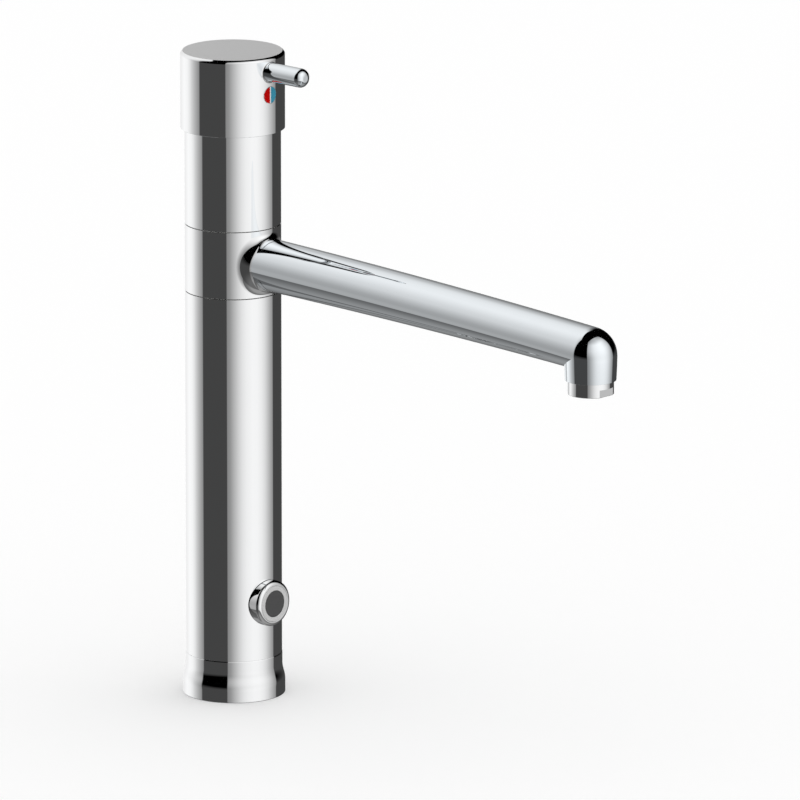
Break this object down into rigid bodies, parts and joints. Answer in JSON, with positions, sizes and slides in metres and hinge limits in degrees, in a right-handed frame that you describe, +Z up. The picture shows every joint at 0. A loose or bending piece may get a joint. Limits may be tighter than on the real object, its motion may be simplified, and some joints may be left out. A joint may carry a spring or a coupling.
{
  "type": "electronic mixer tap",
  "caption": "Tall chrome deck tap: tube body with a swivelling side spout and domed outlet, a turning cap with a pin lever, and a round infrared sensor low on the front.",
  "frame": {"origin": "centre of the foot's underside, on the tube body's axis, where it stands on the deck", "axes": "+Z up the tube body; -Y along the spout, the lever and the sensor at rest; +X to the right of someone who faces the sensor"},
  "size_m": [0.051, 0.2754, 0.3213],
  "materials": {
    "chrome": "polished chrome plate",
    "satin_chrome": "satin chrome plate",
    "brass": "machined",
    "steel": "turned",
    "copper": "drawn tube and wound wire",
    "rubber": "matte",
    "white_plastic": "moulded",
    "black_plastic": "moulded",
    "battery_skin": "plain sleeve",
    "board": "varnished",
    "ceramic": "lapped",
    "dark_lens": "smooth dark filter",
    "diode": "clear",
    "mark_white": "enamel",
    "mark_red": "enamel",
    "mark_blue": "enamel"
  },
  "bodies": {
    "root": {"base_foot": "chrome", "deck_gasket": "rubber", "base_block": "brass", "lower_sleeve": "chrome", "upper_sleeve": "chrome", "swivel_core": "brass", "cartridge_seat": "brass", "seat_screws": "steel", "lower_bearing_ring": "white_plastic", "upper_bearing_ring": "white_plastic", "swivel_o_rings": "rubber", "hot_riser": "copper", "cold_riser": "copper", "valve_body": "brass", "valve_diaphragm": "rubber", "valve_screws": "steel", "armature_tube": "steel", "solenoid_coil": "copper", "solenoid_yoke": "steel", "solenoid_spring": "steel", "inner_chassis": "white_plastic", "battery_holder": "black_plastic", "battery_cells": "battery_skin", "battery_contacts": "brass", "control_module": "board", "sensor_housing": "chrome", "sensor_bezel": "satin_chrome", "sensor_lens": "dark_lens", "sensor_gasket": "rubber", "sensor_washer": "white_plastic", "sensor_nut": "brass", "sensor_board": "board", "ir_emitter": "diode", "ir_receiver": "black_plastic", "sensor_rear_cap": "rubber", "sensor_lead": "black_plastic", "solenoid_lead": "black_plastic", "cartridge_base": "white_plastic", "cartridge_body": "white_plastic", "fixed_disc": "ceramic", "cartridge_port_seals": "rubber", "cartridge_nut": "brass"},
    "handle": {"handle_cap": "chrome", "lever_pin": "chrome", "indicator_plug": "mark_white", "indicator_red": "mark_red", "indicator_blue": "mark_blue", "grub_screw": "steel", "cartridge_stem": "steel", "stem_o_ring": "rubber", "moving_disc": "ceramic"},
    "spout": {"swivel_collar": "chrome", "spout_tube": "chrome", "spout_elbow": "chrome", "aerator_housing": "chrome", "aerator_insert": "white_plastic", "aerator_seal": "rubber"},
    "plunger": {"solenoid_plunger": "steel"}
  },
  "joints": [
    {"name": "handle_turn", "type": "hinge", "parent": "root", "child": "handle", "pos_m": [0, 0, 0.3], "axis": [0, 0, 1], "range_deg": [-50, 50]},
    {"name": "spout_swivel", "type": "hinge", "parent": "root", "child": "spout", "pos_m": [0, 0, 0.219], "axis": [0, 0, 1], "range_deg": [-75, 75]},
    {"name": "plunger_slide", "type": "slide", "parent": "root", "child": "plunger", "axis": [0, 0, -1], "range_m": [0, 0.0012], "stiffness_N_per_m": 400, "springref_m": -0.002, "deforming": ["solenoid_spring"]}
  ]
}
